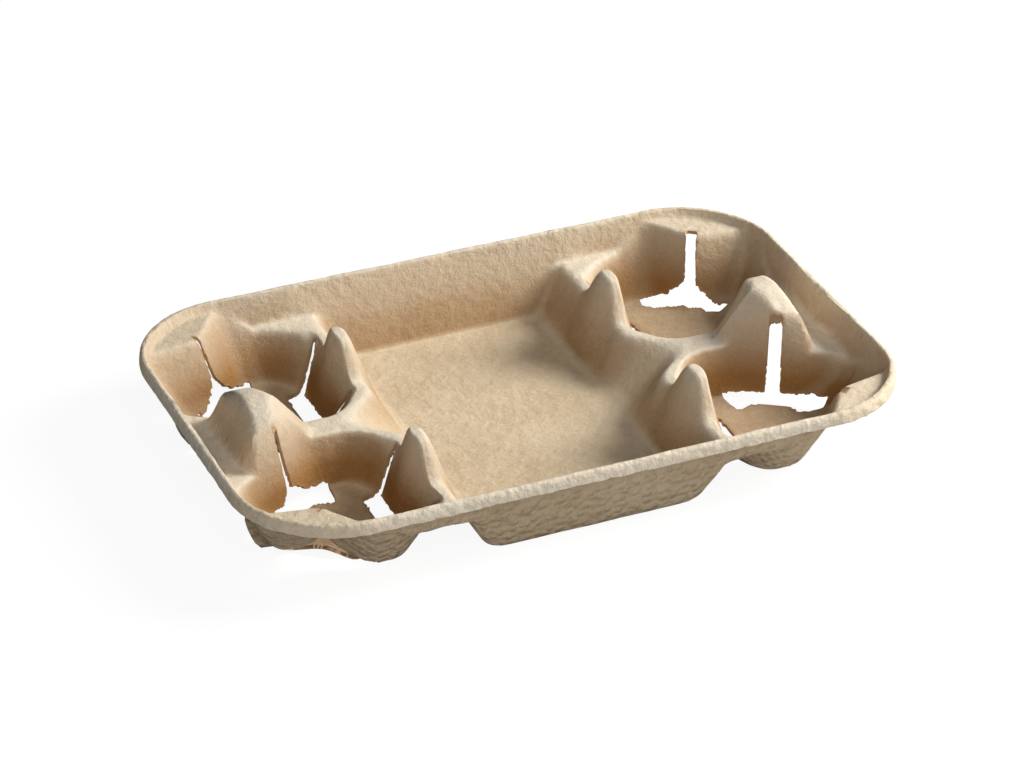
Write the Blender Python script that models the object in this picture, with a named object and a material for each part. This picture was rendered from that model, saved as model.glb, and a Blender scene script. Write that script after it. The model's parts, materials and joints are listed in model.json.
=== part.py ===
"""Moulded-fibre cup carrier tray: four cup pockets round a central food tray.

The tray is one pressed sheet of paper fibre with the same wall everywhere. One
quarter of its upper face is laid out as a net of rings round a pocket and rows
across the food tray, mirrored twice, given its wall and then slit at the pocket
corners. Metres, +Z up, the long side along X, standing on Z = 0.
"""
import math

import bmesh
import bpy
import numpy as np
from mathutils import Vector

# Sheet and rim
WALL = 0.0020
RIM_HALF_LENGTH = 0.1845
RIM_HALF_WIDTH = 0.1200
RIM_CORNER_RADIUS = 0.0540
RIM_HEIGHT = 0.0456
RIM_FLAT = 0.0016
SKIRT_FLARE = 0.0026
SKIRT_DROP = 0.0065
SIDE_WALL_RUN = 0.0140

SKIRT_ROLL = (0.55, 0.12)

# Food tray
TRAY_FOOT_TO_POCKET = 0.0590
TRAY_WALL_RUN = 0.0150
TRAY_GROOVE_RUN = 0.0360
TRAY_GROOVE_HALF_WIDTH = 0.0280
TRAY_FILLET = 0.0120
DIVIDER_CREST_RUN = 0.0045
GROOVE_CREST_RUN = 0.0025

# Cup pockets, each size at the floor and at the rim's height
POCKET_FROM_END = 0.0665
POCKET_FROM_SIDE = 0.0640
END_REACH_AT_FLOOR = 0.0430
SIDE_REACH_AT_FLOOR = 0.0380
RIDGE_WIDTH = 0.0060
DIVIDER_REACH = (0.0230, 0.0335)
DIVIDER_HALF_WIDTH = (0.0190, 0.0350)
DIVIDER_SETBACK = 3.0
LOBE_ROUNDING = 0.0040
CREASE_ROUNDING = 0.0060
POCKET_FILLET = 0.0060
EDGE_FILLET = 0.0045

# Plan points of a pocket's wall from its centre, at the floor and at the rim's height.
# Along X in metres; along Y in metres towards the rim, as a share of the distance to
# the middle line towards the ridge.
RIM_SIDE_CORNER = ((0.0040, 0.0380), (0.0120, 0.0640))
RIM_SIDE_APEX = ((0.0206, 0.0179), (0.0303, 0.0367))
END_CORNER = ((0.0430, 0.0100), (0.0600, 0.0310))
INNER_APEX = ((-0.0230, 0.0190), (-0.0460, 0.0370))
INNER_CORNER = ((-0.0150, 0.0380), (-0.0314, 0.0560))
RIDGE_SIDE_CORNER = ((0.0040, 0.680), (0.0100, 0.946))
RIDGE_SIDE_APEX = ((0.0205, 0.452), (0.0270, 0.625))
RIDGE_END_CORNER = ((0.0340, 0.360), (0.0434, 0.579))
RIDGE_END_TIP = ((0.0430, 0.054), (0.0727, 0.304))
RIDGE_INNER_APEX = ((-0.0230, 0.339), (-0.0460, 0.661))
RIDGE_INNER_CORNER = ((-0.0150, 0.680), (-0.0314, 0.911))
RIDGE_REACH_AT_FLOOR = 0.680

# Land between the wells, as depths below the rim
LEDGE_DEPTH = 0.0170
CORNER_LEDGE_DEPTH = 0.0045
LEDGE_STEP_RUN = 0.0200
POST_RISE = 0.0050
POST_HALF_WIDTH = 0.0230
POST_WALL_SLOPE = 1.05
POST_INSET = 0.0200
POST_INSET_RUN = 0.0100
HUMP_RISE = 0.0100
HUMP_START_FROM_POCKET = 0.0000
HUMP_SWEEP = 0.45
HUMP_INNER_RUN = 0.0215
HUMP_OUTER_RUN = 0.0110
HUMP_END_FROM_RIM = 0.0195
HUMP_CROWN = 0.37
HUMP_CROWN_HALF_WIDTH = 0.0210
HUMP_HALF_WIDTH = 0.0300
HUMP_SIDE_RUN = 0.0090
HUMP_ROUNDING = 0.20
CREST_ROUNDING = 0.0016

# Slits along the corners of the pockets and openings round the pocket floors
SLIT_WIDTH = 0.0046
SLIT_TOP_SHARE = 0.97
INNER_SLIT_TOP_SHARE = 0.60
RIM_SIDE_PLATE = ((-0.0030, 0.0380), (0.0010, 0.0340), (0.0070, 0.0300), (0.0150, 0.0275), (0.0230, 0.0210),
                  (0.0310, 0.0130), (0.0440, 0.0090))
RIDGE_SIDE_PLATE = ((-0.0050, 0.680), (0.0010, 0.464), (0.0080, 0.437), (0.0120, 0.366), (0.0180, 0.348),
                    (0.0245, 0.286), (0.0265, 0.179), (0.0320, 0.116), (0.0440, 0.086))
INNER_OPENING = (-0.0340, -0.0140)
INNER_OPENING_HALF_WIDTH = 0.0215
OPENING_OUTWARDS = 1.35
FLAP_LOW = 0.0030
RIM_SIDE_FLAP_RISE = 0.0115
RIDGE_SIDE_FLAP_RISE = 0.0030
FLAP_TURN = 50.0
FLAP_SPREAD = 26.0

FIBRE_COLOUR = (0.62, 0.47, 0.31, 1.0)
FIBRE_ROUGHNESS = 0.95

# Net of the quarter sheet
RIDGE_STATIONS = (0.0, 0.144, 0.259, 0.374, 0.5, 0.592, 0.684, 0.776, 0.88)
END_STATIONS = (0.0, 0.15, 0.3, 0.45, 0.6, 0.8)
CORNER_STATIONS = (0.0, 0.18, 0.36, 0.52, 0.68, 0.84)
SIDE_STATIONS = (0.0, 0.25, 0.5, 0.75)
TRAY_ROWS = (0.0, 0.1, 0.2, 0.3, 0.39, 0.467, 0.544, 0.62, 0.72, 0.81, 0.87, 0.91, 0.945, 0.975)
TRAY_COLUMNS = (0.0, 0.7)
TRAY_WALL_COLUMNS = (-0.1, 0.14, 0.4, 0.7, 1.0)
FLOOR_RINGS = (0.7,)
WALL_RINGS = (0.0, 0.1, 0.35, 0.7, 1.0)
LAND_RINGS = (0.2, 0.4, 0.62, 0.84)

SLOPE_STEP = 0.0001
SMALLEST_SIZE = 0.0020
SMALLEST_SHARE = 0.05
FLATTEST_FACING = 0.02
FLOOR_HEIGHT = WALL
POCKET_X = RIM_HALF_LENGTH - POCKET_FROM_END
POCKET_Y = RIM_HALF_WIDTH - POCKET_FROM_SIDE
TRAY_FOOT_X = POCKET_X - TRAY_FOOT_TO_POCKET
WELL_DEPTH = RIM_HEIGHT - FLOOR_HEIGHT


def smooth_low(first, second, blend):
    """The lower of two heights, with a fillet of about the blend's size."""
    near = np.maximum(blend - np.abs(first - second), 0.0) / blend
    return np.minimum(first, second) - near * near * blend * 0.25


def smooth_high(first, second, blend):
    return -smooth_low(-first, -second, blend)


def bell(distance, half_width):
    """1 in the middle, falling smoothly to 0 at the half width."""
    share = np.clip(np.abs(distance) / half_width, 0.0, 1.0)
    return 0.5 * (1.0 + np.cos(math.pi * share))


def rim_distance(x, y):
    """Distance inside the rounded rectangle of the rim's crest."""
    over_x = x - (RIM_HALF_LENGTH - RIM_CORNER_RADIUS)
    over_y = y - (RIM_HALF_WIDTH - RIM_CORNER_RADIUS)
    outside = np.hypot(np.maximum(over_x, 0.0), np.maximum(over_y, 0.0))
    inside = np.minimum(np.maximum(over_x, over_y), 0.0)
    return RIM_CORNER_RADIUS - outside - inside


def line_radius(angle, first, second):
    """Distance from the pocket's centre to the straight face through two plan points."""
    across_x = first[1] - second[1]
    across_y = second[0] - first[0]
    offset = across_x * first[0] + across_y * first[1]
    facing = (across_x * np.cos(angle) + across_y * np.sin(angle)) * np.sign(offset)
    flattest = FLATTEST_FACING * np.hypot(across_x, across_y)
    return np.abs(offset) / np.maximum(facing, flattest)


def pocket_radius(angle, height):
    """Plan radius of a pocket's wall at a height, from the pocket's centre."""
    rise = (height - FLOOR_HEIGHT) / WELL_DEPTH
    rimward = np.sin(angle) > 0.0
    turn = np.arctan2(np.abs(np.sin(angle)), np.cos(angle))
    along_x = np.maximum(np.cos(turn), SMALLEST_SHARE)
    against_x = np.maximum(-np.cos(turn), SMALLEST_SHARE)
    along_y = np.maximum(np.sin(turn), SMALLEST_SHARE)

    def size(floor, top):
        return np.maximum(floor + (top - floor) * rise, SMALLEST_SIZE)

    def point(rim_pair, ridge_pair):
        (rim_x, rim_y), (rim_top_x, rim_top_y) = rim_pair
        (ridge_x, ridge_y), (ridge_top_x, ridge_top_y) = ridge_pair
        x = np.where(rimward, rim_x + (rim_top_x - rim_x) * rise, ridge_x + (ridge_top_x - ridge_x) * rise)
        ridge_reach = (ridge_y + (ridge_top_y - ridge_y) * rise) * POCKET_Y
        return x, np.where(rimward, rim_y + (rim_top_y - rim_y) * rise, ridge_reach)

    ridge_reach = size(RIDGE_REACH_AT_FLOOR * POCKET_Y, POCKET_Y - RIDGE_WIDTH / 2.0)
    reach = np.where(rimward, size(SIDE_REACH_AT_FLOOR, POCKET_FROM_SIDE), ridge_reach)
    side_end = reach / along_y
    apex = point(RIM_SIDE_APEX, RIDGE_SIDE_APEX)
    corner = point(END_CORNER, RIDGE_END_CORNER)
    tip = point(RIDGE_END_TIP, RIDGE_END_TIP)
    outer_side = line_radius(turn, point(RIM_SIDE_CORNER, RIDGE_SIDE_CORNER), apex)
    outer_side = smooth_low(side_end, outer_side, CREASE_ROUNDING)
    outer_end = line_radius(turn, apex, corner)
    tapered = smooth_low(outer_end, line_radius(turn, corner, tip), 2.0 * CREASE_ROUNDING)
    outer_end = np.where(rimward, outer_end, tapered)
    outer_end = smooth_low(outer_end, size(END_REACH_AT_FLOOR, POCKET_FROM_END) / along_x, CREASE_ROUNDING)
    outer = smooth_high(outer_side, outer_end, LOBE_ROUNDING)
    inner_apex = point(INNER_APEX, RIDGE_INNER_APEX)
    inner = line_radius(turn, inner_apex, point(INNER_CORNER, RIDGE_INNER_CORNER))
    inner = smooth_low(side_end, inner, 2.0 * CREASE_ROUNDING)
    face = size(*DIVIDER_REACH)
    crossing = face * np.sin(turn) / against_x
    past = np.maximum(crossing - size(*DIVIDER_HALF_WIDTH), 0.0)
    inner = smooth_low(inner, face / against_x + DIVIDER_SETBACK * past, LOBE_ROUNDING)
    return np.where(np.cos(turn) > 0.0, outer, inner)


def rim_wall(x, y):
    """Height of the outer wall that runs down from the rim all round."""
    return RIM_HEIGHT - (rim_distance(x, y) - RIM_FLAT) * WELL_DEPTH / SIDE_WALL_RUN


def pocket_height(x, y):
    """Height of a pocket's wall over a point of the plan."""
    angle = np.arctan2(y - POCKET_Y, x - POCKET_X)
    reach = np.hypot(x - POCKET_X, y - POCKET_Y)
    low = np.full(reach.shape, FLOOR_HEIGHT - WELL_DEPTH)
    high = np.full(reach.shape, RIM_HEIGHT + WELL_DEPTH)
    for _ in range(40):
        middle = 0.5 * (low + high)
        inside = pocket_radius(angle, middle) < reach
        low = np.where(inside, middle, low)
        high = np.where(inside, high, middle)
    wall = smooth_high(0.5 * (low + high), rim_wall(x, y), EDGE_FILLET)
    return smooth_high(wall, FLOOR_HEIGHT, POCKET_FILLET)


def tray_top_x(y):
    """Where the food tray's side wall ends, at the height of the ledges."""
    run = TRAY_WALL_RUN + (TRAY_GROOVE_RUN - TRAY_WALL_RUN) * bell(y, TRAY_GROOVE_HALF_WIDTH)
    return TRAY_FOOT_X + run


def tray_height(x, y):
    """Height of the food tray's floor and walls over a point of the plan."""
    slope = (WELL_DEPTH - LEDGE_DEPTH) / (tray_top_x(y) - TRAY_FOOT_X)
    slope = slope + POST_WALL_SLOPE * bell(y - POCKET_Y, POST_HALF_WIDTH)
    side = FLOOR_HEIGHT + (x - TRAY_FOOT_X) * slope
    walls = smooth_high(side, rim_wall(x, y), TRAY_FILLET)
    return smooth_high(walls, FLOOR_HEIGHT, POCKET_FILLET)


def hump_share(x, y):
    """Share of the hump's full height: inner flank, crowned top, outer end and sides."""
    hump_start = POCKET_X + HUMP_START_FROM_POCKET + HUMP_SWEEP * np.abs(y)
    inner = (x - hump_start) / HUMP_INNER_RUN
    outer = (RIM_HALF_LENGTH - HUMP_END_FROM_RIM - x) / HUMP_OUTER_RUN
    side = (HUMP_HALF_WIDTH - np.abs(y)) / HUMP_SIDE_RUN
    crown = 1.0 - HUMP_CROWN * (y / HUMP_CROWN_HALF_WIDTH) ** 2
    ends = smooth_low(outer, side, 2.0 * HUMP_ROUNDING)
    top = smooth_low(inner, crown, HUMP_ROUNDING)
    return np.clip(smooth_low(top, ends, HUMP_ROUNDING), 0.0, 1.0)


def land_height(x, y):
    """Height of what stands between the wells: ledges, posts, humps and rim."""
    corner = np.clip((x - POCKET_X) / LEDGE_STEP_RUN, 0.0, 1.0)
    corner = corner * np.clip((y - POCKET_Y) / LEDGE_STEP_RUN, 0.0, 1.0)
    land = RIM_HEIGHT - LEDGE_DEPTH + corner * (LEDGE_DEPTH - CORNER_LEDGE_DEPTH)
    post_in = np.clip((POCKET_X - POST_INSET - x) / POST_INSET_RUN, 0.0, 1.0)
    land = land + (POST_RISE + LEDGE_DEPTH) * bell(y - POCKET_Y, POST_HALF_WIDTH) * post_in
    land = land + (HUMP_RISE + LEDGE_DEPTH) * hump_share(x, y)
    land = smooth_high(land, rim_wall(x, y), EDGE_FILLET)
    near_rim = rim_distance(x, y) < 2.0 * RIM_FLAT + EDGE_FILLET
    return np.where(near_rim, smooth_low(land, RIM_HEIGHT + 0.0 * x, CREST_ROUNDING), land)


def sheet_height(x, y):
    """Height of the sheet's upper face over a point of the plan."""
    wells = smooth_low(pocket_height(x, y), tray_height(x, y), EDGE_FILLET)
    return smooth_low(land_height(x, y), wells, EDGE_FILLET)


def divider_x(y):
    """Plan line along the top of the divider between tray and pocket."""
    groove = bell(y, TRAY_GROOVE_HALF_WIDTH)
    return tray_top_x(y) + DIVIDER_CREST_RUN + (GROOVE_CREST_RUN - DIVIDER_CREST_RUN) * groove


def rim_point(share):
    """Point of the rim's crest: 0 at the end's middle, 1, 2 at the corner, 3 at the divider."""
    straight = RIM_HALF_WIDTH - RIM_CORNER_RADIUS
    if share <= 1.0:
        return RIM_HALF_LENGTH, straight * share
    if share <= 2.0:
        turn = (share - 1.0) * math.pi / 2.0
        return (RIM_HALF_LENGTH - RIM_CORNER_RADIUS * (1.0 - math.cos(turn)),
                straight + RIM_CORNER_RADIUS * math.sin(turn))
    start = RIM_HALF_LENGTH - RIM_CORNER_RADIUS
    end = float(divider_x(np.float64(RIM_HALF_WIDTH)))
    return start + (end - start) * (share - 2.0), RIM_HALF_WIDTH


def cell_outline():
    """Corner points of the net's outer ring round one pocket, and the tray's rows."""
    start = float(divider_x(np.float64(0.0)))
    outline = []
    for share in RIDGE_STATIONS:
        outline.append((start + (RIM_HALF_LENGTH - start) * share, 0.0))
    for leg, stations in enumerate((END_STATIONS, CORNER_STATIONS, SIDE_STATIONS)):
        for share in stations:
            outline.append(rim_point(leg + share))
    rows = [row * RIM_HALF_WIDTH for row in TRAY_ROWS] + [RIM_HALF_WIDTH]
    divider = [(float(divider_x(np.float64(y))), y) for y in reversed(rows)]
    return outline + divider[:-1], rows


def spoke_radii(angle, reach):
    """Plan radii of the rings along one spoke, out to the cell's edge."""
    low, high = FLOOR_HEIGHT, RIM_HEIGHT + HUMP_RISE
    for _ in range(40):
        middle = 0.5 * (low + high)
        radius = float(pocket_radius(np.float64(angle), middle))
        x = POCKET_X + radius * math.cos(angle)
        y = POCKET_Y + radius * math.sin(angle)
        above = radius < reach - RIM_FLAT and middle < float(land_height(np.float64(x), np.float64(y)))
        low, high = (middle, high) if above else (low, middle)
    foot = float(pocket_radius(np.float64(angle), FLOOR_HEIGHT))
    radii = [foot * share for share in FLOOR_RINGS]
    for share in WALL_RINGS:
        level = FLOOR_HEIGHT + (low - FLOOR_HEIGHT) * share
        radii.append(float(pocket_radius(np.float64(angle), level)))
    edge = radii[-1]
    radii += [edge + (reach - edge) * share for share in LAND_RINGS]
    return radii


def height_at(x, y):
    return float(sheet_height(np.float64(abs(x)), np.float64(abs(y))))


def place(mesh, x, y):
    return mesh.verts.new((x, y, height_at(x, y)))


def wall_below(vert):
    """Where the sheet's underside lies below a point of its upper face."""
    x, y, z = vert.co
    if z < RIM_HEIGHT - SKIRT_DROP + SLOPE_STEP and rim_distance(abs(x), abs(y)) < 0.0:
        return vert.co - vert.normal * WALL
    if rim_distance(abs(x), abs(y)) < -SLOPE_STEP:
        lean = Vector((vert.normal.x, vert.normal.y, vert.normal.z + 1.0))
        return vert.co - lean.normalized() * WALL
    along_x = (height_at(x + SLOPE_STEP, y) - height_at(x - SLOPE_STEP, y)) / (2.0 * SLOPE_STEP)
    along_y = (height_at(x, y + SLOPE_STEP) - height_at(x, y - SLOPE_STEP)) / (2.0 * SLOPE_STEP)
    drop = WALL * math.sqrt(1.0 + along_x * along_x + along_y * along_y)
    if rim_distance(abs(x), abs(y)) < SLOPE_STEP:
        drop = WALL
    return (x, y, max(z - drop, 0.0))


def add_underside(mesh):
    """Copy the upper face one wall lower and close the hem of the rim between them."""
    bmesh.ops.triangulate(mesh, faces=mesh.faces)
    mesh.normal_update()
    hem = [edge for edge in mesh.edges if len(edge.link_faces) == 1
           and all(vert.co.z < RIM_HEIGHT - SKIRT_DROP + SLOPE_STEP for vert in edge.verts)
           and all(rim_distance(*vert.co.xy) < -SLOPE_STEP for vert in edge.verts)]
    lowered = {vert: wall_below(vert) for vert in mesh.verts}
    grown = bmesh.ops.duplicate(mesh, geom=list(mesh.verts) + list(mesh.edges) + list(mesh.faces))
    for vert, place_below in lowered.items():
        grown["vert_map"][vert].co = place_below
    copied = [item for item in grown["geom"] if isinstance(item, bmesh.types.BMFace)]
    bmesh.ops.reverse_faces(mesh, faces=copied)
    lower_hem = [grown["edge_map"][edge] for edge in hem]
    bmesh.ops.bridge_loops(mesh, edges=hem + lower_hem)
    bmesh.ops.recalc_face_normals(mesh, faces=mesh.faces)


def pocket_net(mesh, outline):
    """Rings round the pocket, bridged to each other; returns the outermost ring."""
    middle = place(mesh, POCKET_X, POCKET_Y)
    rings = None
    for x, y in outline:
        angle = math.atan2(y - POCKET_Y, x - POCKET_X)
        reach = math.hypot(x - POCKET_X, y - POCKET_Y)
        radii = spoke_radii(angle, reach) + [reach]
        spoke = [place(mesh, POCKET_X + r * math.cos(angle), POCKET_Y + r * math.sin(angle))
                 for r in radii]
        if rings is None:
            rings = [[] for _ in spoke]
        for ring, vert in zip(rings, spoke):
            ring.append(vert)
    count = len(outline)
    for index in range(count):
        after = (index + 1) % count
        mesh.faces.new((middle, rings[0][index], rings[0][after]))
        for inner, outer in zip(rings, rings[1:]):
            mesh.faces.new((inner[index], outer[index], outer[after], inner[after]))
    return rings[-1]


def tray_net(mesh, rows, divider):
    """Rows across the food tray, ending on the pocket net's own divider points."""
    grid = []
    for y, last in zip(rows, divider):
        top = float(tray_top_x(np.float64(y)))
        columns = [share * TRAY_FOOT_X for share in TRAY_COLUMNS]
        columns += [TRAY_FOOT_X + share * (top - TRAY_FOOT_X) for share in TRAY_WALL_COLUMNS]
        grid.append([place(mesh, x, y) for x in columns] + [last])
    for lower, upper in zip(grid, grid[1:]):
        for index in range(len(lower) - 1):
            mesh.faces.new((lower[index], lower[index + 1], upper[index + 1], upper[index]))
    return grid[-1]


def skirt(mesh, crest):
    """Extrude the crest's edges outwards and down into the rolled rim."""
    edges = [mesh.edges.get(pair) for pair in zip(crest, crest[1:])]
    for out, down in (SKIRT_ROLL, (1.0, 1.0)):
        grown = bmesh.ops.extrude_edge_only(mesh, edges=edges)["geom"]
        edges = [item for item in grown if isinstance(item, bmesh.types.BMEdge)]
        for vert in [item for item in grown if isinstance(item, bmesh.types.BMVert)]:
            corner_x = min(max(vert.co.x, 0.0), RIM_HALF_LENGTH - RIM_CORNER_RADIUS)
            corner_y = min(max(vert.co.y, 0.0), RIM_HALF_WIDTH - RIM_CORNER_RADIUS)
            if vert.co.x <= corner_x:
                corner_x = vert.co.x
            if vert.co.y <= corner_y:
                corner_y = vert.co.y
            away = math.hypot(vert.co.x - corner_x, vert.co.y - corner_y)
            reach = RIM_CORNER_RADIUS + SKIRT_FLARE * out
            vert.co.x = corner_x + (vert.co.x - corner_x) * reach / away
            vert.co.y = corner_y + (vert.co.y - corner_y) * reach / away
            vert.co.z = RIM_HEIGHT - SKIRT_DROP * down
        edges = [edge for edge in edges if len(edge.link_faces) == 1
                 and abs(edge.verts[0].co.z - edge.verts[1].co.z) < 1e-7
                 and abs(edge.verts[0].co.z - (RIM_HEIGHT - SKIRT_DROP * down)) < 1e-7]


def add_object(name, mesh):
    data = bpy.data.meshes.new(name)
    mesh.to_mesh(data)
    mesh.free()
    made = bpy.data.objects.new(name, data)
    bpy.context.collection.objects.link(made)
    return made


def prism(mesh, plan, tops):
    """Close an upright block over a plan outline, with its own height at each corner."""
    base = [mesh.verts.new((x, y, -RIM_HEIGHT)) for x, y in plan]
    floor = mesh.faces.new(base)
    grown = bmesh.ops.extrude_face_region(mesh, geom=[floor])["geom"]
    raised = [item for item in grown if isinstance(item, bmesh.types.BMVert)]
    for vert in raised:
        nearest = min(range(len(plan)), key=lambda corner: math.dist(plan[corner], vert.co.xy))
        vert.co.z = tops[nearest]
    bmesh.ops.triangulate(mesh, faces=[face for face in mesh.faces if len(face.verts) > 4])


def slit_plan(points, top_share):
    """Four corners of a blade's plan, along the line a pocket's corner takes as it rises."""
    (start_x, start_y), (top_x, top_y) = points
    end_x = start_x + (top_x - start_x) * top_share
    end_y = start_y + (top_y - start_y) * top_share
    length = math.hypot(end_x - start_x, end_y - start_y)
    aside_x = -(end_y - start_y) / length * SLIT_WIDTH / 2.0
    aside_y = (end_x - start_x) / length * SLIT_WIDTH / 2.0
    return [(start_x - aside_x, start_y - aside_y), (end_x - aside_x, end_y - aside_y),
            (end_x + aside_x, end_y + aside_y), (start_x + aside_x, start_y + aside_y)]


def flap_height(x, y, rise):
    """Height of the flaps' lower edge: highest at the slit, lowest at the lobes."""
    turn = abs(abs(math.degrees(math.atan2(y, x))) - FLAP_TURN)
    return FLOOR_HEIGHT + FLAP_LOW + rise * max(0.0, 1.0 - turn / FLAP_SPREAD)


def cutter(name, plans_and_tops):
    """Upright blocks in one pocket, mirrored to the other three."""
    mesh = bmesh.new()
    for plan, tops in plans_and_tops:
        prism(mesh, [(POCKET_X + x, POCKET_Y + y) for x, y in plan], tops)
    bmesh.ops.recalc_face_normals(mesh, faces=mesh.faces)
    made = add_object(name, mesh)
    mirror = made.modifiers.new("Mirror", "MIRROR")
    mirror.use_axis = (True, True, False)
    mirror.merge_threshold = 0.0001
    made.hide_render = True
    made.display_type = "WIRE"
    return made


def flipped(plan):
    return [(x, -y) for x, y in plan]


def from_ridge(points):
    """Plan points given as shares of the distance to the middle line, in metres."""
    return [(x, share * POCKET_Y) for x, share in points]


def opening_block(plate, flap_rise):
    """Plan and tops of the block outside the pocket floor's torn edge."""
    plan = list(plate) + [(x * OPENING_OUTWARDS, y * OPENING_OUTWARDS) for x, y in reversed(plate)]
    return plan, [flap_height(x, y, flap_rise) for x, y in plan]


def pocket_cutters():
    """The blades and blocks that part each pocket's floor from its four corners."""
    blade_tops = [2.0 * RIM_HEIGHT] * 4
    blades = [
        slit_plan(RIM_SIDE_APEX, SLIT_TOP_SHARE),
        slit_plan(INNER_APEX, INNER_SLIT_TOP_SHARE),
        flipped(slit_plan(from_ridge(RIDGE_SIDE_APEX), SLIT_TOP_SHARE)),
        flipped(slit_plan(from_ridge(RIDGE_INNER_APEX), INNER_SLIT_TOP_SHARE)),
    ]
    rim_plan, rim_tops = opening_block(RIM_SIDE_PLATE, RIM_SIDE_FLAP_RISE)
    ridge_plan, ridge_tops = opening_block(from_ridge(RIDGE_SIDE_PLATE), RIDGE_SIDE_FLAP_RISE)
    near, far = INNER_OPENING
    reach = INNER_OPENING_HALF_WIDTH
    inner = [(near, -reach), (far, -reach), (far, reach), (near, reach)]
    inner_tops = [FLOOR_HEIGHT + FLAP_LOW] * 4
    return [
        cutter("corner_slits", [(blade, blade_tops) for blade in blades]),
        cutter("outer_openings", [(rim_plan, rim_tops), (flipped(ridge_plan), ridge_tops)]),
        cutter("inner_openings", [(inner, inner_tops)]),
    ]


def fibre_material():
    material = bpy.data.materials.new("moulded_fibre")
    material.use_nodes = True
    shader = material.node_tree.nodes["Principled BSDF"]
    shader.inputs["Base Color"].default_value = FIBRE_COLOUR
    shader.inputs["Roughness"].default_value = FIBRE_ROUGHNESS
    shader.inputs["Metallic"].default_value = 0.0
    return material


def quarter_sheet():
    """Upper face of one quarter: pocket net, food tray net and rolled rim."""
    outline, rows = cell_outline()
    mesh = bmesh.new()
    ring = pocket_net(mesh, outline)
    divider = [ring[0]] + list(reversed(ring[-(len(rows) - 1):]))
    top_row = tray_net(mesh, rows, divider)
    last_rim = len(outline) - (len(rows) - 1)
    crest = ring[len(RIDGE_STATIONS):last_rim + 1] + list(reversed(top_row[:-1]))
    skirt(mesh, crest)
    bmesh.ops.recalc_face_normals(mesh, faces=mesh.faces)
    if sum(face.normal.z for face in mesh.faces) < 0.0:
        bmesh.ops.reverse_faces(mesh, faces=mesh.faces)
    add_underside(mesh)
    return mesh


def main():
    for old in list(bpy.data.objects):
        bpy.data.objects.remove(old, do_unlink=True)
    tray = add_object("carrier_tray", quarter_sheet())
    mirror = tray.modifiers.new("Mirror", "MIRROR")
    mirror.use_axis = (True, True, False)
    mirror.merge_threshold = 0.0001
    for tool in pocket_cutters():
        cut = tray.modifiers.new(tool.name, "BOOLEAN")
        cut.operation = "DIFFERENCE"
        cut.object = tool
        if tool.name != "corner_slits":
            cut.solver = "MANIFOLD"
    tray.data.materials.append(fibre_material())
    tray.data.shade_smooth()
    tray.data.set_sharp_from_angle(angle=math.radians(50.0))


main()
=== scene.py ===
"""Moulded-fibre cup carrier: the pressed sheet, its torn slits and its studio."""

import json
import math

import bpy
import numpy as np
from bpy.props import FloatProperty, FloatVectorProperty, IntProperty, PointerProperty
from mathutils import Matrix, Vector, noise

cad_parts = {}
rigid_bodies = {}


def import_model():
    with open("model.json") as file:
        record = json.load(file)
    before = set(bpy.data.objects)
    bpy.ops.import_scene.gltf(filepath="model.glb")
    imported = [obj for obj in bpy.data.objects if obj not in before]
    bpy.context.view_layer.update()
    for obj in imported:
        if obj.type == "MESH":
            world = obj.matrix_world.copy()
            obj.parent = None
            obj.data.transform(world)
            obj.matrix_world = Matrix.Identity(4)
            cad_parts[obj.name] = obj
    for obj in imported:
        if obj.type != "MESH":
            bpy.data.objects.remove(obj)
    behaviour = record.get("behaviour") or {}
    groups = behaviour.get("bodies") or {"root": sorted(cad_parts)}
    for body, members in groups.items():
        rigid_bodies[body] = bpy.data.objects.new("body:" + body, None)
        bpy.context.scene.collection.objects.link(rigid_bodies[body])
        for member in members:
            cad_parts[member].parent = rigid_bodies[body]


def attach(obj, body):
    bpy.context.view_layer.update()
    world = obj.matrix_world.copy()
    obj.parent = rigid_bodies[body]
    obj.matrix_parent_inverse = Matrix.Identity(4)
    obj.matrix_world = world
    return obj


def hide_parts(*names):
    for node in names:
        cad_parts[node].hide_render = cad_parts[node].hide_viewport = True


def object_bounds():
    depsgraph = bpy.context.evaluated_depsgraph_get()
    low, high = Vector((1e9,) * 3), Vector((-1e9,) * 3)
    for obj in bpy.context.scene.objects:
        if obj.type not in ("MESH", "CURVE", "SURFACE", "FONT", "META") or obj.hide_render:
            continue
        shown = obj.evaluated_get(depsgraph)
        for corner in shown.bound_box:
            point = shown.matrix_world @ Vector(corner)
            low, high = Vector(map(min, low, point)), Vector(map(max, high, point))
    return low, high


bl_info = {
    "name": "Moulded-fibre cup carrier",
    "version": (1, 0, 0),
    "blender": (4, 5, 0),
    "location": "View3D > Sidebar > Carrier",
    "description": "Builds a pressed-fibre cup carrier tray with its studio",
    "category": "Add Mesh",
}

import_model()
CAD_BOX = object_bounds()

# Rim and sheet, in metres; the depths are below the rim's crest
HALF_LENGTH = 0.1845
HALF_WIDTH = 0.1200
CORNER_RADIUS = 0.0540
CREST = 0.0456
CREST_FLAT = 0.0016
SKIRT_FLARE = 0.0026
SKIRT_DROP = 0.0065
SIDE_WALL_RUN = 0.0140
WALL = 0.0020
FLOOR = WALL
DEPTH = CREST - FLOOR

# Food tray
TRAY_FOOT_X = 0.0590
TRAY_WALL_RUN = 0.0150
TRAY_GROOVE_RUN = 0.0360
TRAY_GROOVE_HALF_WIDTH = 0.0280
TRAY_FILLET = 0.0170
TRAY_FLOOR_FILLET = 0.0060

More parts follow.
